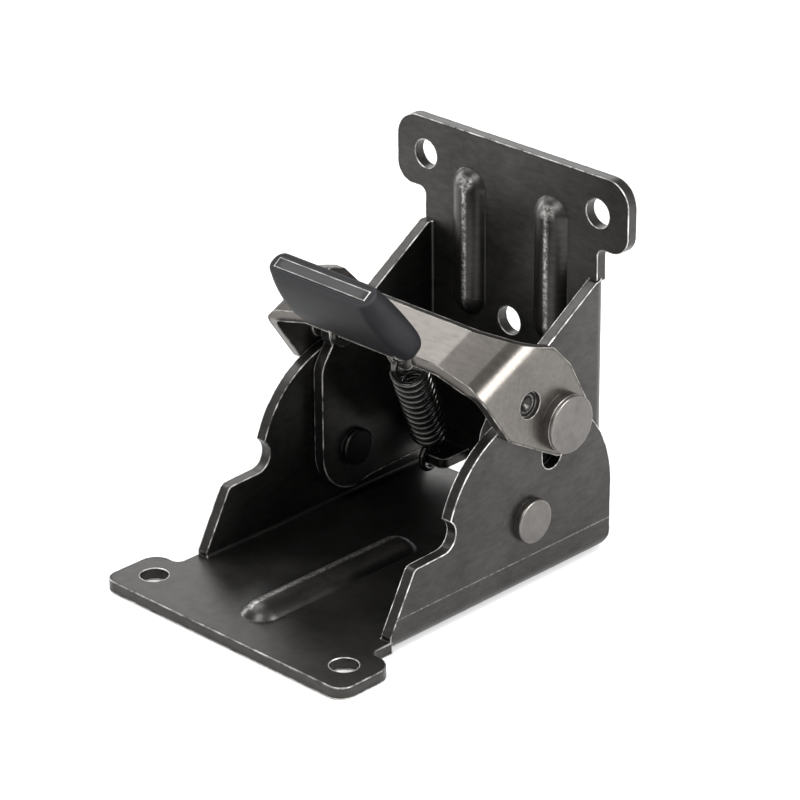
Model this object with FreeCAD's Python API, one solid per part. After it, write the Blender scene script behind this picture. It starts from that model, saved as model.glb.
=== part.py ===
import FreeCAD, Part
import math
import os

os.makedirs("parts", exist_ok=True)

V = FreeCAD.Vector

# ---------------------------------------------------------------- driving dimensions (mm)
T = 2.3                 # sheet of both leaves
LEVER_T = 2.1           # sheet of the latch lever
WIDTH = 62.4            # over the lugs of the base leaf
WING_HALF = 29.1        # half width over the wing lugs of the upper leaf
Y_SHIFT = 39.4          # from the mounting face of the upper leaf to the part's own origin

BASE_FRONT = -78.8      # front edge of the base plate
BASE_REAR = -1.4        # rear edge of the base plate and cheeks
BASE_HALF = 25.2        # half width over the base cheeks
BEND_OUT = 2.9          # outside bend radius, both leaves
BEND_IN = BEND_OUT - T
HEEL_R = 3.8            # lower rear corner of the base cheeks
LUG_REAR = -65.3        # rear edge of the base lugs
NECK_END = -60.2        # where the base cheeks begin
BASE_HOLE_X = 24.85
BASE_HOLE_Y = -71.6
BASE_HOLE_D = 5.4

PIVOT_Y, PIVOT_Z = -23.6, 13.7      # hinge rivets
RIM_R = 22.2                        # rim of the base cheeks, about the hinge
RIVET_R = 2.5
RIVET_HEAD_R = 4.3
RIVET_HEAD_H = 1.5

UP_HALF = 22.5          # half width over the upper cheeks
UP_BOTTOM = 6.7         # lower edge of the upper plate
UP_TOP = 74.2
WING_LOW = 60.0         # underside of the wing lugs
UP_HOLE_X, UP_HOLE_Z = 21.7, 66.9
UP_HOLE_D = 5.6
UP_MID_HOLE_Z = 39.1
UP_FRONT = -32.0        # front edge of the upper cheeks

BEAD_HALF = 4.1         # stiffening beads: half width and height
BEAD_H = 2.2
BASE_BEAD = (-67.6, -33.5)
UP_BEAD_X = 10.4
UP_BEAD = (41.5, 63.0)

LATCH_Y, LATCH_Z = -26.6, 38.6      # latch rivets
LATCH_SHANK_R = 2.2
LATCH_END_R = 2.6
EAR_IN = 25.6
EAR_OUT = EAR_IN + LEVER_T
LOCK_Y, LOCK_Z = -18.0, 32.6        # lock studs
LOCK_HEAD_R = 5.6
LOCK_HEAD_H = 2.6
LOCK_SHANK_R = 3.4

TAB_HALF = 11.4         # finger tab
TAB_TIP = (-52.3, 62.3)
TAB_DIR = (-0.575, 0.818)
STRAP_REAR = (-31.0, 51.6)   # top of the strap, rear and front edge
STRAP_FRONT = (-40.4, 47.2)
SADDLE_R = 4.6          # outside radius where the strap turns down into the ears
CREASE_X = 17.0         # crease either side, from which the strap falls towards the ears
CREASE_DROP = 2.6
TAB_NECK = 8.2          # half width of the tab at its root

SPRING_LOW = V(-15.0, -7.3, 10.4)
TANG_X = 2.5            # tang under the strap, a little to the right
SPRING_TOP = V(TANG_X, -33.3, 43.4)
SPRING_R = 3.9
SPRING_WIRE = 1.4

FIT = 0.05              # radial clearance of a running fit


# ---------------------------------------------------------------- helpers
def rounded(pts):
    """Closed outline from (u, v, radius) corners; returns a list of edges in the u, v plane."""
    n = len(pts)
    info = []
    for i in range(n):
        p = V(pts[i][0], pts[i][1], 0)
        a = V(pts[i - 1][0], pts[i - 1][1], 0)
        b = V(pts[(i + 1) % n][0], pts[(i + 1) % n][1], 0)
        r = pts[i][2] if len(pts[i]) > 2 else 0.0
        da = (a - p)
        db = (b - p)
        da.normalize()
        db.normalize()
        if r <= 0:
            info.append((p, p, None))
            continue
        half = da.getAngle(db) / 2.0
        d = r / math.tan(half)
        s = p + da * d
        e = p + db * d
        bis = da + db
        bis.normalize()
        c = p + bis * (r / math.sin(half))
        m = c - bis * r
        info.append((s, e, m))
    edges = []
    for i in range(n):
        s, e, m = info[i]
        if m is not None:
            edges.append(Part.Arc(s, m, e).toShape())
        nxt = info[(i + 1) % n][0]
        if (nxt - e).Length > 1e-6:
            edges.append(Part.LineSegment(e, nxt).toShape())
    return edges


def solid_uv(edges, thick):
    w = Part.Wire(Part.__sortEdges__(edges))
    return Part.Face(w).extrude(V(0, 0, thick))


def to_yz(shape, x0):
    """u, v, w become Y, Z, X, starting at X = x0."""
    m = FreeCAD.Matrix(0, 0, 1, x0, 1, 0, 0, 0, 0, 1, 0, 0, 0, 0, 0, 1)
    return shape.transformed(m)


def to_xz(shape, y0):
    """u, v, w become X, Z, -Y, starting at Y = y0 and going towards -Y."""
    m = FreeCAD.Matrix(1, 0, 0, 0, 0, 0, -1, y0, 0, 1, 0, 0, 0, 0, 0, 1)
    return shape.transformed(m)


def plate_yz(pts, x0, x1):
    return to_yz(solid_uv(rounded(pts), x1 - x0), x0)


def cyl_x(y, z, r, x0, x1):
    return Part.makeCylinder(r, x1 - x0, V(x0, y, z), V(1, 0, 0))


def cyl_y(x, z, r, y0, y1):
    return Part.makeCylinder(r, y1 - y0, V(x, y0, z), V(0, 1, 0))


def cyl_z(x, y, r, z0, z1):
    return Part.makeCylinder(r, z1 - z0, V(x, y, z0), V(0, 0, 1))


def capsule(p0, p1, r):
    d = p1 - p0
    c = Part.makeCylinder(r, d.Length, p0, d)
    return c.fuse([Part.makeSphere(r, p0), Part.makeSphere(r, p1)])


def mirror_x(shape):
    return shape.mirror(V(0, 0, 0), V(1, 0, 0))


def soften(shape, picker, r):
    """Fillet the edges that the picker accepts; keeps the plain shape if that fails."""
    es = [e for e in shape.Edges if picker(e)]
    if not es:
        return shape
    try:
        f = shape.makeFillet(r, es)
        if f.isValid() and len(f.Solids) == 1:
            return f
    except Exception:
        pass
    return shape


def one(shape, name):
    shape = shape.removeSplitter()
    s = shape.Solids
    if len(s) != 1 or not s[0].isValid():
        print("CHECK", name, "solids", len(s), "valid", shape.isValid())
    return s[0] if len(s) == 1 else shape


def save(shape, name):
    shape = shape.copy()
    shape.translate(V(0, Y_SHIFT, 0))
    shape.exportStep("parts/%s.step" % name)
    bb = shape.BoundBox
    print("%-20s %9.1f mm3  X %.2f..%.2f  Y %.2f..%.2f  Z %.2f..%.2f" % (
        name, shape.Volume, bb.XMin, bb.XMax, bb.YMin, bb.YMax, bb.ZMin, bb.ZMax))


# ---------------------------------------------------------------- base leaf
bead_r = (BEAD_HALF ** 2 + BEAD_H ** 2) / (2 * BEAD_H)

# channel: plate and two cheeks bent up along their length
k = BEND_OUT
outer = [(-BASE_HALF, 60), (-BASE_HALF, 0, k), (BASE_HALF, 0, k), (BASE_HALF, 60)]
inner = [(-BASE_HALF + T, 61), (-BASE_HALF + T, T, BEND_IN), (BASE_HALF - T, T, BEND_IN), (BASE_HALF - T, 61)]
channel = to_xz(solid_uv(rounded(outer), BASE_REAR - NECK_END), BASE_REAR)
hollow = to_xz(solid_uv(rounded(inner), BASE_REAR - NECK_END + 2), BASE_REAR + 1)
channel = channel.cut(hollow)

# side profile of the cheeks
py, pz = PIVOT_Y, PIVOT_Z


def rim(deg, r=RIM_R):
    a = math.radians(deg)
    return V(py + r * math.cos(a), pz + r * math.sin(a), 0)


edges = []
p_low = V(NECK_END, 0, 0)
p_a = V(NECK_END, 3.2, 0)
p_b = V(-54.3, 13.9, 0)
p_c = V(-52.9, 14.7, 0)
p_d = V(-46.5, 14.9, 0)
p_e = rim(161.5)
edges.append(Part.LineSegment(p_low, p_a).toShape())
edges.append(Part.LineSegment(p_a, p_b).toShape())
edges.append(Part.Arc(p_b, V(-53.75, 14.48, 0), p_c).toShape())
edges.append(Part.LineSegment(p_c, p_d).toShape())
edges.append(Part.Arc(p_d, V(-43.3, 18.1, 0), p_e).toShape())
p_f = rim(0)
edges.append(Part.Arc(p_e, rim(85), p_f).toShape())
edges.append(Part.LineSegment(p_f, V(py + RIM_R, 0, 0)).toShape())
edges.append(Part.LineSegment(V(py + RIM_R, 0, 0), p_low).toShape())
profile = to_yz(Part.Face(Part.Wire(Part.__sortEdges__(edges))).extrude(V(0, 0, 80)), -40)
base = channel.common(profile)

# lock notch in each rim: steep in front, round below
notch = plate_yz([(py + 3.2, pz + 11.0), (py + 2.6, pz + 26.0), (py + 9.6, pz + 26.0), (py + 8.4, pz + 11.0)], -40, 40)
notch = notch.fuse(cyl_x(py + 5.8, pz + 11.0, 2.6, -40, 40))
cheek_zone = Part.makeBox(80, 60, 60, V(-40, -50, pz + 5))
base = base.cut(notch.common(cheek_zone))

# flat front with its two lugs
hw = WIDTH / 2
front = [
    (-hw, BASE_FRONT, 3.0), (hw, BASE_FRONT, 3.0), (hw, LUG_REAR, 3.6), (BASE_HALF, LUG_REAR, 1.6),
    (BASE_HALF, NECK_END + 0.4), (-BASE_HALF, NECK_END + 0.4), (-BASE_HALF, LUG_REAR, 1.6), (-hw, LUG_REAR, 3.6)]
plate = solid_uv(rounded(front), T)
plate_tail = Part.makeBox(2 * (BASE_HALF - BEND_OUT), 4, T, V(-(BASE_HALF - BEND_OUT), NECK_END - 1, 0))
base = base.fuse([plate, plate_tail])
base = base.removeSplitter()
base = soften(base, lambda e: len(e.Vertexes) > 0 and max(v.Z for v in e.Vertexes) - min(v.Z for v in e.Vertexes) < 1e-4
              and abs(e.Vertexes[0].Z - T) < 1e-4 and max(v.Y for v in e.Vertexes) < LUG_REAR + 4.5
              and e.BoundBox.YMax < NECK_END - 0.05, 0.2)

# bead along the middle, raised inside and hollow underneath
zc = T + BEAD_H - bead_r
bead = capsule(V(0, BASE_BEAD[0], zc), V(0, BASE_BEAD[1], zc), bead_r)
groove = capsule(V(0, BASE_BEAD[0], zc), V(0, BASE_BEAD[1], zc), bead_r - T)
above = Part.makeBox(80, 120, 20, V(-40, -100, T * 0.5))
base = base.fuse(bead.common(above)).cut(groove)
for sx in (-1, 1):
    base = base.cut(cyl_z(sx * BASE_HOLE_X, BASE_HOLE_Y, BASE_HOLE_D / 2, -5, 10))
base = base.cut(cyl_x(py, pz, RIVET_R + 0.01, -40, 40))
# lower rear corner of each cheek rounded off
heel = Part.makeBox(80, HEEL_R + 1, HEEL_R + 1, V(-40, BASE_REAR - HEEL_R, -1)).cut(
    cyl_x(BASE_REAR - HEEL_R, HEEL_R, HEEL_R, -41, 41))
heel = heel.cut(Part.makeBox(2 * (BASE_HALF - BEND_OUT), 20, 20, V(-(BASE_HALF - BEND_OUT), -15, -5)))
base = base.cut(heel)
base = one(base, "base_leaf")
save(base, "base_leaf")

# ---------------------------------------------------------------- upper leaf
# channel: plate and two cheeks bent forward
uo = [(-UP_HALF, -70), (-UP_HALF, 0, k), (UP_HALF, 0, k), (UP_HALF, -70)]
ui = [(-UP_HALF + T, -71), (-UP_HALF + T, -T, BEND_IN), (UP_HALF - T, -T, BEND_IN), (UP_HALF - T, -71)]
uch = solid_uv(rounded(uo), 54.6)
uch = uch.cut(solid_uv(rounded(ui), 60))
cheek = [
    (0.0, UP_BOTTOM), (-2.6, UP_BOTTOM), (-19.0, UP_BOTTOM - 0.6, 6.0), (py, pz - 8.4), (UP_FRONT, pz - 8.4, 8.35),
    (UP_FRONT, 32.2, 5.0), (-29.0, 36.6, 3.0), (-25.6, 39.4, 4.0), (-3.2, 53.6, 1.0), (0.0, 53.9)]
side = plate_yz(cheek, -40, 40)
lobe = cyl_x(LATCH_Y, LATCH_Z, 3.3, -40, 40)
side = side.fuse(lobe)
upper = uch.common(side)

# flat top with its two wing lugs
wing = [
    (-21.8, 50.0), (21.8, 50.0), (21.8, WING_LOW, 1.6), (WING_HALF, WING_LOW, 3.8), (WING_HALF, UP_TOP, 5.0),
    (-WING_HALF, UP_TOP, 5.0), (-WING_HALF, WING_LOW, 3.8), (-21.8, WING_LOW, 1.6)]
top = to_xz(solid_uv(rounded(wing), T), 0)
root = Part.makeBox(2 * (UP_HALF - BEND_OUT), T, 30, V(-(UP_HALF - BEND_OUT), -T, 30))
neck = Part.makeBox(2 * 21.8, T, 7, V(-21.8, -T, 52.5))
upper = upper.fuse([top.common(Part.makeBox(80, 10, 30, V(-40, -5, 53.2))), root, neck.common(Part.makeBox(80, 10, 30, V(-40, -5, 53.2)))])
upper = upper.removeSplitter()

# forward tongue at the lower edge, which holds the foot of the spring
tongue = Part.makeBox(7.0, 8.6, 2.0, V(-17.5, -9.4, UP_BOTTOM))
tongue = soften(tongue, lambda e: abs(e.Vertexes[0].Y + 9.4) < 1e-4 and abs(e.Vertexes[-1].Y + 9.4) < 1e-4
                and e.BoundBox.ZLength > 1.0, 1.4)
upper = upper.fuse(tongue)
upper = upper.cut(cyl_z(-15.0, -7.3, 1.0, 0, 12))

# two beads, raised inside and hollow behind
yc = -(T + BEAD_H - bead_r)
for sx in (-1, 1):
    a = V(sx * UP_BEAD_X, yc, UP_BEAD[0])
    b = V(sx * UP_BEAD_X, yc, UP_BEAD[1])
    inside = Part.makeBox(80, 20, 100, V(-40, -20 - T * 0.5, 0))
    upper = upper.fuse(capsule(a, b, bead_r).common(inside)).cut(capsule(a, b, bead_r - T))
for sx in (-1, 1):
    upper = upper.cut(cyl_y(sx * UP_HOLE_X, UP_HOLE_Z, UP_HOLE_D / 2, -10, 5))
upper = upper.cut(cyl_y(0, UP_MID_HOLE_Z, UP_HOLE_D / 2, -10, 5))
upper = upper.cut(cyl_x(py, pz, RIVET_R + FIT, -40, 40))
upper = upper.cut(cyl_x(LATCH_Y, LATCH_Z, LATCH_SHANK_R + 0.01, -40, 40))
upper = one(upper, "upper_leaf")
save(upper, "upper_leaf")

# ---------------------------------------------------------------- hinge rivets
head = cyl_x(py, pz, RIVET_HEAD_R, BASE_HALF, BASE_HALF + RIVET_HEAD_H)
head = soften(head, lambda e: abs(e.BoundBox.XMin - BASE_HALF - RIVET_HEAD_H) < 1e-4 and e.BoundBox.XLength < 1e-4, 0.35)
shank = cyl_x(py, pz, RIVET_R, UP_HALF - T - 0.4, BASE_HALF)
tail = cyl_x(py, pz, 3.7, UP_HALF - T - 1.4, UP_HALF - T - 0.1)
tail = soften(tail, lambda e: abs(e.BoundBox.XMin - (UP_HALF - T - 1.4)) < 1e-4 and e.BoundBox.XLength < 1e-4, 0.5)
rivet = one(head.fuse([shank, tail]), "hinge_rivet")
save(rivet, "hinge_rivet_right")
save(mirror_x(rivet), "hinge_rivet_left")

# ---------------------------------------------------------------- latch lever
# saddle: a strap across the top, sloping down to the front and rolled over into an ear on each side
s_rear = V(0, STRAP_REAR[0], STRAP_REAR[1])
s_front = V(0, STRAP_FRONT[0], STRAP_FRONT[1])
run = s_front - s_rear
d_run = V(run)
d_run.normalize()
n_up = V(0, d_run.z, -d_run.y)


def along_strap(shape):
    """u, v, w become X, the strap's upward normal and its run, from the middle of its rear edge."""
    m = FreeCAD.Matrix(1, n_up.x, d_run.x, s_rear.x, 0, n_up.y, d_run.y, s_rear.y, 0, n_up.z, d_run.z, s_rear.z, 0, 0, 0, 1)
    return shape.transformed(m)


BACK = 34.0
fall = CREASE_DROP / (EAR_OUT - CREASE_X)
fall_ang = math.atan(fall)
in_x = CREASE_X - LEVER_T * math.tan(fall_ang / 2)
in_v = -LEVER_T - (EAR_IN - in_x) * fall
sec_o = [(-EAR_OUT, -60.0), (-EAR_OUT, -CREASE_DROP, SADDLE_R), (-CREASE_X, 0.0, 3.0), (CREASE_X, 0.0, 3.0),
         (EAR_OUT, -CREASE_DROP, SADDLE_R), (EAR_OUT, -60.0)]
sec_i = [(-EAR_IN, -61.0), (-EAR_IN, in_v, SADDLE_R - LEVER_T), (-in_x, -LEVER_T, 1.0), (in_x, -LEVER_T, 1.0),
         (EAR_IN, in_v, SADDLE_R - LEVER_T), (EAR_IN, -61.0)]
saddle = solid_uv(rounded(sec_o), BACK + 14.0).cut(solid_uv(rounded(sec_i), BACK + 14.0))
saddle.translate(V(0, 0, -BACK))
saddle = along_strap(saddle)
lip = s_front - n_up * LEVER_T
side_view = [
    (s_front.y, s_front.z + 6.0), (s_rear.y - 1.0, s_rear.z + 6.0), (s_rear.y - 0.1, s_rear.z - 0.2), (-20.4, 48.0, 1.2),
    (-15.8, 43.2, 2.0), (-9.6, 31.6, 5.0), (-13.0, 25.6, 5.0), (-19.0, 25.8, 2.0), (-32.0, 33.0, 2.0), (-39.4, 43.6, 1.5), (lip.y, lip.z)]
lever = saddle.common(plate_yz(side_view, -40, 40))

# finger tab: the middle of the strap's front edge, bent up
td = V(0, TAB_DIR[0], TAB_DIR[1])
td.normalize()
tn = V(0, td.z, -td.y)                      # across the sheet, towards the back
tip = V(0, TAB_TIP[0], TAB_TIP[1])


def meet(p, d, q, e):
    """Where two lines in the Y, Z plane cross."""
    det = d.y * (-e.z) + e.y * d.z
    a = ((q.y - p.y) * (-e.z) + e.y * (q.z - p.z)) / det
    return p + d * a


in_corner = meet(s_front, d_run, tip + tn * LEVER_T, td)
out_corner = meet(lip, d_run, tip, td)
near = s_rear + d_run * 4.0
tab_prof = [
    (tip.y, tip.z), ((tip + tn * LEVER_T).y, (tip + tn * LEVER_T).z), (in_corner.y, in_corner.z, 0.9),
    (near.y, near.z), ((near - n_up * LEVER_T).y, (near - n_up * LEVER_T).z), (out_corner.y, out_corner.z, 3.0)]
tab = plate_yz(tab_prof, -TAB_HALF, TAB_HALF)
# outline of the tab seen square on: narrow at the root, full width under the grip
tab_flat = [
    (-TAB_HALF, 2.0), (TAB_HALF, 2.0), (TAB_HALF, -7.4, 2.0), (TAB_NECK, -12.0, 2.0), (TAB_NECK, -40.0),
    (-TAB_NECK, -40.0), (-TAB_NECK, -12.0, 2.0), (-TAB_HALF, -7.4, 2.0)]
tab_flat = solid_uv(rounded(tab_flat), 60.0)
tab_flat.translate(V(0, 0, -30))
mt = FreeCAD.Matrix(1, td.x, -tn.x, 0, 0, td.y, -tn.y, tip.y, 0, td.z, -tn.z, tip.z, 0, 0, 0, 1)
tab = tab.common(tab_flat.transformed(mt))
# relief slots either side of the tab root
for sx in (-1, 1):
    slot_cut = solid_uv([Part.LineSegment(V(-1.1, 0, 0), V(1.1, 0, 0)).toShape(),
                         Part.LineSegment(V(1.1, 0, 0), V(1.1, 14, 0)).toShape(),
                         Part.LineSegment(V(1.1, 14, 0), V(-1.1, 14, 0)).toShape(),
                         Part.LineSegment(V(-1.1, 14, 0), V(-1.1, 0, 0)).toShape()], 8.0)
    slot_cut = slot_cut.fuse(Part.makeCylinder(1.1, 8.0))
    m = FreeCAD.Matrix(1, d_run.x, -n_up.x, sx * (TAB_NECK + 1.1), 0, d_run.y, -n_up.y, (s_front - d_run * 1.6 + n_up * 3).y,
                       0, d_run.z, -n_up.z, (s_front - d_run * 1.6 + n_up * 3).z, 0, 0, 0, 1)
    lever = lever.cut(slot_cut.transformed(m))
lever = lever.fuse(tab)
# tang under the strap for the spring hook
tang = Part.makeBox(7.0, LEVER_T, 8.5, V(TANG_X - 3.5, -34.35, 40.6))
tang = soften(tang, lambda e: e.BoundBox.YLength > 1.0 and e.BoundBox.ZMax < 41.0, 2.4)
lever = lever.fuse(tang)
lever = lever.cut(cyl_y(TANG_X, 43.0, 1.3, -40, -28))
for sx in (-1, 1):
    x0, x1 = (EAR_IN - 1, EAR_OUT + 1) if sx > 0 else (-EAR_OUT - 1, -EAR_IN + 1)
    lever = lever.cut(cyl_x(LATCH_Y, LATCH_Z, LATCH_END_R + FIT, x0, x1))
    lever = lever.cut(cyl_x(LOCK_Y, LOCK_Z, LOCK_SHANK_R + 0.01, x0, x1))
lever = one(lever, "latch_lever")
save(lever, "latch_lever")

# ---------------------------------------------------------------- latch rivets
end = cyl_x(LATCH_Y, LATCH_Z, LATCH_END_R, EAR_IN - 0.2, EAR_OUT - 0.9)
end = end.cut(Part.makeCone(0.5, 1.7, 0.8, V(EAR_OUT - 1.7, LATCH_Y, LATCH_Z), V(1, 0, 0)))
stem = cyl_x(LATCH_Y, LATCH_Z, LATCH_SHANK_R, UP_HALF - T - 0.2, EAR_IN)
back = cyl_x(LATCH_Y, LATCH_Z, 3.0, UP_HALF - T - 0.9, UP_HALF - T)
back = soften(back, lambda e: abs(e.BoundBox.XMin - (UP_HALF - T - 0.9)) < 1e-4 and e.BoundBox.XLength < 1e-4, 0.3)
lrivet = one(end.fuse([stem, back]), "latch_rivet")
save(lrivet, "latch_rivet_right")
save(mirror_x(lrivet), "latch_rivet_left")

# ---------------------------------------------------------------- lock studs
lh = cyl_x(LOCK_Y, LOCK_Z, LOCK_HEAD_R, EAR_OUT, EAR_OUT + LOCK_HEAD_H)
ring = cyl_x(LOCK_Y, LOCK_Z, LOCK_HEAD_R + 1, EAR_OUT + LOCK_HEAD_H - 0.75, EAR_OUT + LOCK_HEAD_H - 0.45)
ring = ring.cut(cyl_x(LOCK_Y, LOCK_Z, LOCK_HEAD_R - 0.25, EAR_OUT, EAR_OUT + 5))
lh = lh.cut(ring)
lh = soften(lh, lambda e: abs(e.BoundBox.XMin - EAR_OUT - LOCK_HEAD_H) < 1e-4 and e.BoundBox.XLength < 1e-4, 0.3)
stud = one(lh.fuse(cyl_x(LOCK_Y, LOCK_Z, LOCK_SHANK_R, EAR_IN + 0.02, EAR_OUT)), "lock_stud")
save(stud, "lock_stud_right")
save(mirror_x(stud), "lock_stud_left")

# ---------------------------------------------------------------- grip sleeve
# section across the tab: thin at the tip, fuller at the root, with rounded ends
def sleeve_section(c, half_w, front, backw, r):
    """Rounded rectangle normal to the tab: half_w along X, from -front to +backw across the sheet."""
    pts = [(-half_w, -front, r), (half_w, -front, r), (half_w, backw, r), (-half_w, backw, r)]
    es = rounded(pts)
    w = Part.Wire(Part.__sortEdges__(es))
    m = FreeCAD.Matrix(1, tn.x, td.x, c.x, 0, tn.y, td.y, c.y, 0, tn.z, td.z, c.z, 0, 0, 0, 1)
    if m.determinant() < 0:
        m = FreeCAD.Matrix(-1, tn.x, td.x, c.x, 0, tn.y, td.y, c.y, 0, tn.z, td.z, c.z, 0, 0, 0, 1)
    return w.transformed(m)


mid = tip + tn * (LEVER_T / 2)
sleeve = [
    (-17.3, 12.4, 1.5, 1.9, 1.45), (-16.7, 13.9, 1.8, 2.5, 1.75), (-15.0, 14.8, 2.2, 3.0, 2.1), (-12.0, 14.8, 2.8, 3.3, 2.6),
    (-8.0, 14.2, 3.1, 3.3, 2.8), (-4.0, 13.5, 3.0, 3.0, 2.7), (-1.8, 13.0, 2.7, 2.7, 2.45), (-0.2, 12.7, 2.3, 2.3, 2.1)]
grip = Part.makeLoft([sleeve_section(mid + td * q[0], q[1], q[2], q[3], q[4]) for q in sleeve], True, False)
slot = [
    ((tip + td * 3 - tn * 0.04).y, (tip + td * 3 - tn * 0.04).z),
    ((tip + td * 3 + tn * (LEVER_T + 0.04)).y, (tip + td * 3 + tn * (LEVER_T + 0.04)).z),
    ((tip - td * 19 + tn * (LEVER_T + 0.04)).y, (tip - td * 19 + tn * (LEVER_T + 0.04)).z),
    ((tip - td * 19 - tn * 0.04).y, (tip - td * 19 - tn * 0.04).z)]
hollow_tab = plate_yz(slot, -TAB_HALF - 0.04, TAB_HALF + 0.04)
wide = [
    (-TAB_HALF - 0.04, 4.0), (TAB_HALF + 0.04, 4.0), (TAB_HALF + 0.04, -7.44, 2.0), (TAB_NECK + 0.04, -12.04, 2.0), (TAB_NECK + 0.04, -40.0),
    (-TAB_NECK - 0.04, -40.0), (-TAB_NECK - 0.04, -12.04, 2.0), (-TAB_HALF - 0.04, -7.44, 2.0)]
wide = solid_uv(rounded(wide), 60.0)
wide.translate(V(0, 0, -30))
grip = grip.cut(hollow_tab.common(wide.transformed(mt)))
grip = one(grip, "lever_grip")
save(grip, "lever_grip")

# ---------------------------------------------------------------- extension spring (envelope tube with its two end loops)
ax = SPRING_TOP - SPRING_LOW
axn = V(ax)
axn.normalize()
b0 = SPRING_LOW + axn * 5.2
b1 = SPRING_TOP - axn * 7.0
tube = Part.makeCylinder(SPRING_R, (b1 - b0).Length, b0, axn)
bore = Part.makeCylinder(SPRING_R - SPRING_WIRE, (b1 - b0).Length - 2 * SPRING_WIRE, b0 + axn * SPRING_WIRE, axn)
spring = tube.cut(bore)
lo = Part.makeCylinder(SPRING_WIRE / 2, 5.0, b0 - axn * 4.6, axn)
hi = Part.makeCylinder(SPRING_WIRE / 2, 4.4, b1 - axn * 0.4, axn)
spring = one(spring.fuse([lo, hi]), "lock_spring")
save(spring, "lock_spring")

# ---------------------------------------------------------------- clearances at rest
nodes = {
    "base_leaf": base, "upper_leaf": upper, "hinge_rivet_right": rivet, "hinge_rivet_left": mirror_x(rivet),
    "latch_lever": lever, "latch_rivet_right": lrivet, "latch_rivet_left": mirror_x(lrivet),
    "lock_stud_right": stud, "lock_stud_left": mirror_x(stud), "lever_grip": grip, "lock_spring": spring}
names = sorted(nodes)
for i, a in enumerate(names):
    for b in names[i + 1:]:
        if not nodes[a].BoundBox.intersect(nodes[b].BoundBox):
            continue
        v = nodes[a].common(nodes[b]).Volume
        if v > 1e-4:
            print("overlap %.4f mm3 %s / %s" % (v, a, b))
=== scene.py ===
import math
import bpy
from mathutils import Vector, Matrix


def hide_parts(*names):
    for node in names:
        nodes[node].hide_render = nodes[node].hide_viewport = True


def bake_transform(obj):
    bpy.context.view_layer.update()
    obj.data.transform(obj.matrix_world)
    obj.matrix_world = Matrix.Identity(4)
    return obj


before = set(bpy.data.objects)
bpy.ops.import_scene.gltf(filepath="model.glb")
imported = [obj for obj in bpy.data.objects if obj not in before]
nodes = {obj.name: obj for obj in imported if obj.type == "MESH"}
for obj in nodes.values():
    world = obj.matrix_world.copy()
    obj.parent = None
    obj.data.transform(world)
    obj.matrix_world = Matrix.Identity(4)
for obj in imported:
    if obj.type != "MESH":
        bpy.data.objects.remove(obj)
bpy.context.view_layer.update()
MM = 0.001
scene = bpy.context.scene


# ------------------------------------------------------------------ camera at the photograph's angle
def camera():
    az, el, roll = math.radians(44.512), math.radians(25.021), math.radians(-0.388)
    target = Vector((-0.955, 8.578, 31.865)) * MM
    fw = Vector((-math.sin(az) * math.cos(el), math.cos(az) * math.cos(el), -math.sin(el)))
    right = Vector((math.cos(az), math.sin(az), 0.0))
    up = right.cross(fw)
    r = right * math.cos(roll) + up * math.sin(roll)
    u = -right * math.sin(roll) + up * math.cos(roll)
    pos = target - fw * (709.64 * MM)
    cam = bpy.data.cameras.new("camera")
    cam.sensor_fit = "HORIZONTAL"
    cam.sensor_width = 36.0
    cam.lens = 173.07
    cam.clip_start = 0.01
    cam.clip_end = 50
    ob = bpy.data.objects.new("camera", cam)
    bpy.context.collection.objects.link(ob)
    m = Matrix((r, u, -fw)).transposed().to_4x4()
    m.translation = pos
    ob.matrix_world = m
    scene.camera = ob


camera()


# ------------------------------------------------------------------ node helpers
def material(name):
    m = bpy.data.materials.new(name)
    m.use_nodes = True
    nt = m.node_tree
    nt.nodes.clear()
    out = nt.nodes.new("ShaderNodeOutputMaterial")
    bsdf = nt.nodes.new("ShaderNodeBsdfPrincipled")
    nt.links.new(bsdf.outputs[0], out.inputs[0])
    return m, nt, bsdf


def coords(nt, scale):
    tc = nt.nodes.new("ShaderNodeTexCoord")
    mp = nt.nodes.new("ShaderNodeMapping")
    mp.inputs["Scale"].default_value = scale
    nt.links.new(tc.outputs["Object"], mp.inputs["Vector"])
    return mp.outputs[0]


def noise(nt, vec, scale, detail=4.0, rough=0.55, distort=0.0):
    n = nt.nodes.new("ShaderNodeTexNoise")
    n.inputs["Scale"].default_value = scale
    n.inputs["Detail"].default_value = detail
    n.inputs["Roughness"].default_value = rough
    n.inputs["Distortion"].default_value = distort
    nt.links.new(vec, n.inputs["Vector"])
    return n.outputs[0]


def ramp(nt, fac, stops):
    n = nt.nodes.new("ShaderNodeValToRGB")
    el = n.color_ramp.elements
    while len(el) < len(stops):
        el.new(0.5)
    for e, (p, c) in zip(el, stops):
        e.position = p
        e.color = (*c, 1.0) if len(c) == 3 else c
    nt.links.new(fac, n.inputs[0])
    return n.outputs[0]


def mix(nt, fac, a, b):
    n = nt.nodes.new("ShaderNodeMix")
    n.data_type = "RGBA"
    for socket, value in ((n.inputs[0], fac), (n.inputs[6], a), (n.inputs[7], b)):
        if hasattr(value, "is_linked"):
            nt.links.new(value, socket)
        else:
            socket.default_value = value if not isinstance(value, tuple) else (*value, 1.0)
    return n.outputs[2]


def math_node(nt, op, a, b=None, clamp=False):
    n = nt.nodes.new("ShaderNodeMath")
    n.operation = op
    n.use_clamp = clamp
    for i, v in enumerate((a, b)):
        if v is None:
            continue
        if hasattr(v, "is_linked"):
            nt.links.new(v, n.inputs[i])
        else:
            n.inputs[i].default_value = v
    return n.outputs[0]


def edge_mask(nt, reach, gain):
    """1 on the outer edges of the sheet, 0 on its faces and in its inner corners."""
    ao = nt.nodes.new("ShaderNodeAmbientOcclusion")
    ao.samples = 12
    ao.inside = True
    ao.only_local = True
    ao.inputs["Distance"].default_value = reach
    return math_node(nt, "MULTIPLY", math_node(nt, "SUBTRACT", 1.0, ao.outputs["AO"]), gain, True)


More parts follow.
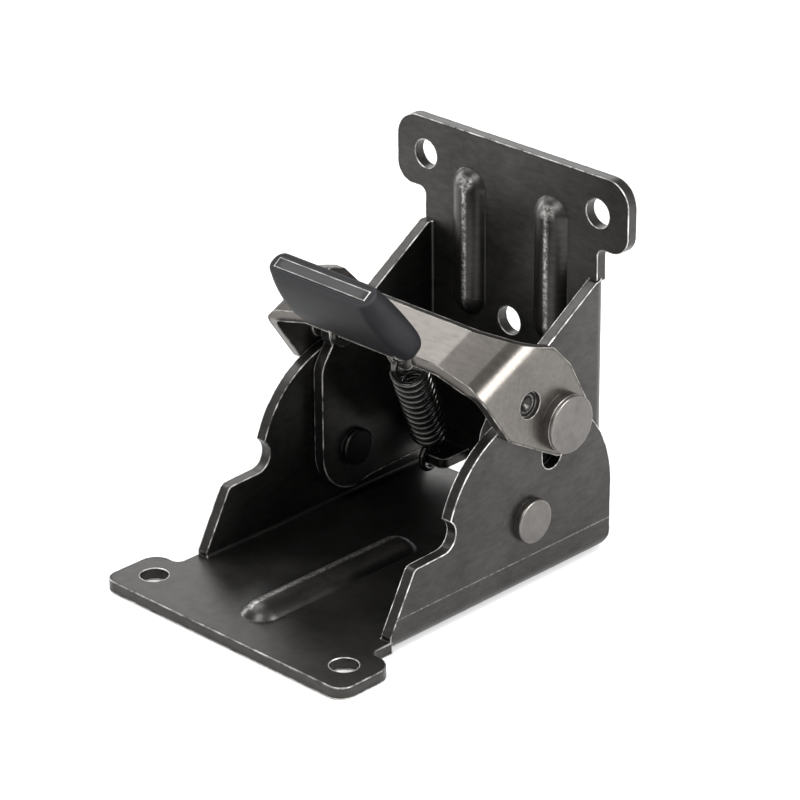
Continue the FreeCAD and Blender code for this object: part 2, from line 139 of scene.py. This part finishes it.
def cut_mask(nt):
    """1 on the narrow faces where the sheet was cut, 0 on its broad faces."""
    ao = nt.nodes.new("ShaderNodeAmbientOcclusion")
    ao.samples = 16
    ao.inside = True
    ao.only_local = True
    ao.inputs["Distance"].default_value = 0.0017
    return math_node(nt, "MULTIPLY", math_node(nt, "SUBTRACT", 0.66, ao.outputs["AO"]), 8.0, True)


def between(nt, value, low, high):
    """0 below low, 1 above high (the other way round if high is the smaller)."""
    n = nt.nodes.new("ShaderNodeMapRange")
    n.interpolation_type = "SMOOTHSTEP"
    n.clamp = True
    nt.links.new(value, n.inputs["Value"])
    a, b, lo, hi = (low, high, 0.0, 1.0) if low < high else (high, low, 1.0, 0.0)
    n.inputs["From Min"].default_value = a
    n.inputs["From Max"].default_value = b
    n.inputs["To Min"].default_value = lo
    n.inputs["To Max"].default_value = hi
    return n.outputs[0]


def crest_highlight_mask(nt):
    """1 along the crests of the three stiffening beads and on the upper ends of two: a painted highlight where the
    lamps glint on them.
    """
    tc = nt.nodes.new("ShaderNodeTexCoord")
    pos = nt.nodes.new("ShaderNodeSeparateXYZ")
    nt.links.new(tc.outputs["Object"], pos.inputs[0])
    nrm = nt.nodes.new("ShaderNodeSeparateXYZ")
    nt.links.new(tc.outputs["Normal"], nrm.inputs[0])
    wide = math_node(nt, "ABSOLUTE", pos.outputs[0])
    up = math_node(nt, "MULTIPLY", between(nt, pos.outputs[1], 0.0362, 0.0355), between(nt, wide, 0.0165, 0.0155))
    up = math_node(nt, "MULTIPLY", up, between(nt, pos.outputs[2], 0.036, 0.037))
    low = math_node(nt, "MULTIPLY", between(nt, pos.outputs[2], 0.0034, 0.0041), between(nt, pos.outputs[2], 0.0052, 0.0049))
    low = math_node(nt, "MULTIPLY", low, between(nt, wide, 0.0062, 0.0056))
    lean = math_node(nt, "MULTIPLY", between(nt, nrm.outputs[0], -0.04, 0.09), between(nt, nrm.outputs[0], 0.27, 0.12))
    lean = math_node(nt, "MULTIPLY", lean, between(nt, nrm.outputs[2], 0.30, 0.10))
    left = math_node(nt, "MULTIPLY", between(nt, nrm.outputs[0], 0.02, -0.14), between(nt, nrm.outputs[0], -0.52, -0.34))
    ends = math_node(nt, "MULTIPLY", between(nt, nrm.outputs[2], 0.04, 0.22), between(nt, nrm.outputs[2], 0.72, 0.46))
    ends = math_node(nt, "MULTIPLY", ends, math_node(nt, "MULTIPLY", between(nt, nrm.outputs[0], -0.30, -0.05), between(nt, nrm.outputs[0], 0.50, 0.25)))
    return math_node(nt, "ADD", math_node(nt, "MULTIPLY", up, math_node(nt, "MAXIMUM", lean, ends)), math_node(nt, "MULTIPLY", low, left), True)


def scribe_mask(nt):
    """1 on the thin line that the press left along the outside of the base cheeks."""
    tc = nt.nodes.new("ShaderNodeTexCoord")
    pos = nt.nodes.new("ShaderNodeSeparateXYZ")
    nt.links.new(tc.outputs["Object"], pos.inputs[0])
    off = math_node(nt, "ABSOLUTE", math_node(nt, "SUBTRACT", pos.outputs[2], 0.0062))
    return math_node(nt, "MULTIPLY", between(nt, off, 0.00018, 0.00006), between(nt, math_node(nt, "ABSOLUTE", pos.outputs[0]), 0.0251, 0.02516), True)


def bump(nt, height, strength, dist, radius=None):
    n = nt.nodes.new("ShaderNodeBump")
    n.inputs["Strength"].default_value = strength
    n.inputs["Distance"].default_value = dist
    nt.links.new(height, n.inputs["Height"])
    if radius:
        bev = nt.nodes.new("ShaderNodeBevel")
        bev.samples = 8
        bev.inputs["Radius"].default_value = radius
        nt.links.new(bev.outputs[0], n.inputs["Normal"])
    return n.outputs[0]


# ------------------------------------------------------------------ finishes
def steel(name, dark, light, worn, rough, worn_gain, grain, stretch, dipped=None, cut_face_shade=None, sheet=False, inner=None):
    """Sheet steel: clouded tone, fine grain along the sheet, edges rubbed bright, a few rubbed spots."""
    m, nt, b = material(name)
    cloud = noise(nt, coords(nt, (1, 1, 1)), 70.0, 6.0, 0.62, 0.4)
    streak = noise(nt, coords(nt, stretch), 420.0, 5.0, 0.6)
    fine = noise(nt, coords(nt, (1, 1, 1)), 2600.0, 3.0, 0.6)
    tone = math_node(nt, "ADD", math_node(nt, "MULTIPLY", cloud, 0.6), math_node(nt, "MULTIPLY", streak, 0.4))
    col = ramp(nt, tone, [(0.34, dark), (0.66, light)])
    spots = ramp(nt, noise(nt, coords(nt, (1, 1, 1)), 190.0, 8.0, 0.7), [(0.62, (0, 0, 0)), (0.80, (1, 1, 1))])
    col = mix(nt, math_node(nt, "MULTIPLY", spots, 0.22), col, tuple(min(1.0, c * 1.9) for c in light))
    r = math_node(nt, "ADD", math_node(nt, "MULTIPLY", cloud, 0.22), rough - 0.11)
    if cut_face_shade:
        # painted shade: the narrow cut faces are painted darker than the broad faces, with a rough speckle; the extra
        # roughness below is real
        cut = cut_mask(nt)
        cut_face_shade_colour = ramp(nt, noise(nt, coords(nt, (1, 1, 1)), 1300.0, 4.0, 0.6), [(0.40, cut_face_shade[0]), (0.60, cut_face_shade[1]), (0.76, cut_face_shade[2])])
        col = mix(nt, cut, col, cut_face_shade_colour)
        r = math_node(nt, "ADD", r, math_node(nt, "MULTIPLY", cut, 0.32))
    if sheet:
        glint_and_mark_breakup = ramp(nt, noise(nt, coords(nt, (1, 1, 1)), 1500.0, 4.0, 0.7), [(0.40, (0.10, 0.10, 0.10)), (0.66, (1, 1, 1))])
        # painted highlight: the bead crests and upper ends are painted bright where the lamps glint on them
        col = mix(nt, math_node(nt, "MULTIPLY", crest_highlight_mask(nt), glint_and_mark_breakup), col, (0.58, 0.56, 0.54))
        col = mix(nt, math_node(nt, "MULTIPLY", scribe_mask(nt), math_node(nt, "MULTIPLY", glint_and_mark_breakup, 0.7)), col, (0.30, 0.29, 0.28))
    if inner:
        # painted shade: the tail inside the channel is painted near black, darker than the leaves, where the channel
        # shades it
        limit, colour = inner
        tc = nt.nodes.new("ShaderNodeTexCoord")
        pos = nt.nodes.new("ShaderNodeSeparateXYZ")
        nt.links.new(tc.outputs["Object"], pos.inputs[0])
        col = mix(nt, between(nt, math_node(nt, "ABSOLUTE", pos.outputs[0]), limit, limit - 0.0004), col, colour)
    edge = edge_mask(nt, 0.00026, worn_gain)
    broken = ramp(nt, noise(nt, coords(nt, (1, 1, 1)), 330.0, 5.0, 0.65), [(0.36, (0.05, 0.05, 0.05)), (0.66, (1, 1, 1))])
    wear = math_node(nt, "MULTIPLY", edge, broken, True)
    col = mix(nt, wear, col, worn)
    if dipped:
        # darkened beyond a plane: the end of the finger tab, inside the grip
        direction, start, colour = dipped
        tc = nt.nodes.new("ShaderNodeTexCoord")
        dot = nt.nodes.new("ShaderNodeVectorMath")
        dot.operation = "DOT_PRODUCT"
        nt.links.new(tc.outputs["Object"], dot.inputs[0])
        dot.inputs[1].default_value = direction
        past = math_node(nt, "MULTIPLY", math_node(nt, "SUBTRACT", dot.outputs["Value"], start), 2000.0, True)
        col = mix(nt, past, col, mix(nt, math_node(nt, "MULTIPLY", edge, math_node(nt, "ADD", math_node(nt, "MULTIPLY", broken, 0.65), 0.30)), colour, (0.80, 0.79, 0.77)))
    nt.links.new(col, b.inputs["Base Color"])
    b.inputs["Metallic"].default_value = 0.92
    nt.links.new(r, b.inputs["Roughness"])
    h = math_node(nt, "ADD", math_node(nt, "MULTIPLY", fine, 0.5), streak)
    nt.links.new(bump(nt, h, grain, 0.00012, 0.00035), b.inputs["Normal"])
    return m


leaf = steel("leaf_steel", (0.026, 0.0248, 0.0238), (0.054, 0.0515, 0.0495), (0.86, 0.84, 0.81), 0.33, 3.6, 0.18, (1, 1, 3.0), cut_face_shade=((0.008, 0.0077, 0.0074), (0.020, 0.0193, 0.0186), (0.12, 0.116, 0.112)), sheet=True)
lever = steel("lever_steel", (0.080, 0.0735, 0.067), (0.132, 0.122, 0.112), (0.60, 0.58, 0.54), 0.31, 2.0, 0.12, (1, 3.0, 3.0), ((0.0, -0.575, 0.818), 0.0500, (0.030, 0.030, 0.0305)),
              cut_face_shade=((0.016, 0.015, 0.014), (0.034, 0.032, 0.030), (0.12, 0.115, 0.11)))
rivet = steel("rivet_steel", (0.090, 0.0830, 0.079), (0.144, 0.134, 0.126), (0.52, 0.50, 0.47), 0.34, 2.0, 0.14, (3.0, 1, 1), inner=(0.0224, (0.006, 0.0058, 0.0056)))


def rubber():
    m, nt, b = material("grip_rubber")
    cloud = noise(nt, coords(nt, (1, 1, 1)), 120.0, 4.0)
    fine = noise(nt, coords(nt, (1, 1, 1)), 2400.0, 3.0, 0.7)
    col = ramp(nt, cloud, [(0.35, (0.0055, 0.0056, 0.0064)), (0.68, (0.0100, 0.0102, 0.0115))])
    edge = edge_mask(nt, 0.0006, 1.6)
    col = mix(nt, edge, col, (0.040, 0.041, 0.045))
    nt.links.new(col, b.inputs["Base Color"])
    b.inputs["Specular IOR Level"].default_value = 0.14
    nt.links.new(math_node(nt, "ADD", math_node(nt, "MULTIPLY", cloud, 0.14), 0.46), b.inputs["Roughness"])
    nt.links.new(bump(nt, fine, 0.22, 0.00010, 0.0005), b.inputs["Normal"])
    return m


def spring_wire():
    m, nt, b = material("spring_steel")
    cloud = noise(nt, coords(nt, (1, 1, 1)), 260.0, 5.0)
    fine = noise(nt, coords(nt, (1, 1, 1)), 3200.0, 2.0)
    col = ramp(nt, cloud, [(0.3, (0.040, 0.039, 0.038)), (0.7, (0.105, 0.103, 0.100))])
    nt.links.new(col, b.inputs["Base Color"])
    b.inputs["Metallic"].default_value = 0.9
    nt.links.new(math_node(nt, "ADD", math_node(nt, "MULTIPLY", cloud, 0.12), 0.10), b.inputs["Roughness"])
    nt.links.new(bump(nt, fine, 0.06, 0.00006), b.inputs["Normal"])
    return m


grip_mat = rubber()
wire_mat = spring_wire()

finish = {
    "base_leaf": leaf, "upper_leaf": leaf, "latch_lever": lever, "lever_grip": grip_mat, "lock_spring": wire_mat,
    "hinge_rivet_left": rivet, "hinge_rivet_right": rivet, "latch_rivet_left": leaf, "latch_rivet_right": leaf,
    "lock_stud_left": rivet, "lock_stud_right": rivet}
for name, ob in nodes.items():
    if not ob.material_slots:
        ob.data.materials.append(finish[name])
    for s in ob.material_slots:
        s.material = finish[name]


# ------------------------------------------------------------------ coil spring with its two hooks
def spline_points(pts, steps):
    """Catmull-Rom curve through the points."""
    out = []
    n = len(pts)
    for i in range(n - 1):
        p0, p1, p2, p3 = pts[max(i - 1, 0)], pts[i], pts[i + 1], pts[min(i + 2, n - 1)]
        for k in range(steps):
            t = k / steps
            out.append(0.5 * ((2 * p1) + (p2 - p0) * t + (2 * p0 - 5 * p1 + 4 * p2 - p3) * t * t + (3 * p1 - p0 - 3 * p2 + p3) * t ** 3))
    out.append(pts[-1])
    return out


def tube(name, path, radius, sides=12):
    """Round wire along the path, with a frame carried along it so the wire does not twist."""
    verts, faces = [], []
    t_prev = (path[1] - path[0]).normalized()
    nrm = t_prev.orthogonal().normalized()
    for i, p in enumerate(path):
        a = path[max(i - 1, 0)]
        b = path[min(i + 1, len(path) - 1)]
        t = (b - a).normalized()
        nrm = (t_prev.rotation_difference(t) @ nrm)
        nrm = (nrm - t * nrm.dot(t)).normalized()
        bi = t.cross(nrm)
        t_prev = t
        rr = radius
        for k in range(sides):
            ang = 2 * math.pi * k / sides
            verts.append((p + (nrm * math.cos(ang) + bi * math.sin(ang)) * rr) * MM)
    for i in range(len(path) - 1):
        for k in range(sides):
            a = i * sides + k
            b = i * sides + (k + 1) % sides
            faces.append((a, b, b + sides, a + sides))
    faces.append(tuple(reversed(range(sides))))
    last = (len(path) - 1) * sides
    faces.append(tuple(range(last, last + sides)))
    me = bpy.data.meshes.new(name)
    me.from_pydata([tuple(v) for v in verts], [], faces)
    me.polygons.foreach_set("use_smooth", [True] * len(me.polygons))
    me.validate()
    ob = bpy.data.objects.new(name, me)
    bpy.context.collection.objects.link(ob)
    return ob


low = Vector((-15.0, 32.1, 10.4))
top = Vector((2.5, 6.1, 43.4))
axis = (top - low).normalized()
wire_r = 0.70
coil_r = 3.18
c0 = low + axis * 5.9
c1 = top - axis * 7.7
side_a = axis.orthogonal().normalized()
side_b = axis.cross(side_a)
turns = round((c1 - c0).length / 2.75)
per = 28
coil = []
for i in range(turns * per + 1):
    f = i / (turns * per)
    ang = 2 * math.pi * turns * f
    coil.append(c0 + (c1 - c0) * f + (side_a * math.cos(ang) + side_b * math.sin(ang)) * coil_r)
hook_low = [
    Vector((-14.6, 29.5, 10.3)), Vector((-14.8, 28.7, 8.4)), Vector((-15.0, 29.1, 6.4)), Vector((-15.0, 30.6, 5.5)),
    Vector((-15.0, 31.9, 6.2)), Vector((-15.0, 32.1, 8.0)), Vector((-14.9, 32.0, 10.2)),
    low + axis * 2.6 + side_a * 0.2, low + axis * 4.2 + side_a * 1.6]
# the last turn winds in towards the axis before it runs up to the tang
end_turn = []
for i in range(1, 25):
    f = i / 24
    ang = 2 * math.pi * turns + f * 1.5 * math.pi
    rad = coil_r * (1 - f) + 0.35 * f
    end_turn.append(c1 + axis * (0.5 * f + 2.3 * f * f) + (side_a * math.cos(ang) + side_b * math.sin(ang)) * rad)
hook_top = [
    Vector((1.7, 8.5, 41.4)), Vector((2.4, 7.9, 42.7)), Vector((2.5, 6.6, 43.1)),
    Vector((2.5, 5.2, 43.1)), Vector((2.5, 4.0, 42.3)), Vector((2.4, 3.8, 40.7)), Vector((2.3, 4.8, 39.3)), Vector((2.1, 6.4, 39.0))]
path = spline_points(hook_low + [coil[0]], 8)[:-1] + coil + end_turn + spline_points([end_turn[-1]] + hook_top, 8)[1:]
spring = tube("lock_spring_coil", path, wire_r)
spring.data.materials.append(wire_mat)
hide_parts("lock_spring")
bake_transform(spring)


# ------------------------------------------------------------------ floor and light
def floor():
    me = bpy.data.meshes.new("floor")
    s = 3.0
    me.from_pydata([(-s, -s, 0), (s, -s, 0), (s, s, 0), (-s, s, 0)], [], [(0, 1, 2, 3)])
    ob = bpy.data.objects.new("floor", me)
    ob.location.z = -0.0002
    bpy.context.collection.objects.link(ob)
    m, nt, b = material("floor")
    b.inputs["Base Color"].default_value = (0.92, 0.92, 0.92, 1)
    b.inputs["Roughness"].default_value = 0.85
    b.inputs["Specular IOR Level"].default_value = 0.1
    me.materials.append(m)


floor()


def area(name, loc, aim, size, power, color=(1, 1, 1)):
    li = bpy.data.lights.new(name, "AREA")
    li.shape = "RECTANGLE"
    li.size, li.size_y = size
    li.energy = power
    li.color = color
    ob = bpy.data.objects.new(name, li)
    bpy.context.collection.objects.link(ob)
    ob.location = loc
    d = Vector(aim) - Vector(loc)
    ob.rotation_euler = d.to_track_quat("-Z", "Y").to_euler()


c = (0.0, 0.0, 0.035)
area("top_soft", (-0.42, 0.02, 0.66), c, (0.50, 0.50), 3.3)
area("back_left", (-0.60, 0.62, 0.40), c, (0.55, 0.35), 1.32)
area("front_top", (0.10, -0.45, 0.62), c, (0.35, 0.35), 3.3)
area("right_fill", (0.65, 0.16, 0.32), c, (0.30, 0.50), 8.0)
area("left_low", (-0.70, -0.10, 0.20), c, (0.10, 0.34), 2.2)

w = bpy.data.worlds.new("studio")
scene.world = w
w.use_nodes = True
bg = w.node_tree.nodes.get("Background") or w.node_tree.nodes.new("ShaderNodeBackground")
bg.inputs[0].default_value = (1.0, 1.0, 1.0, 1)
bg.inputs[1].default_value = 0.62
scene.view_settings.view_transform = "Standard"
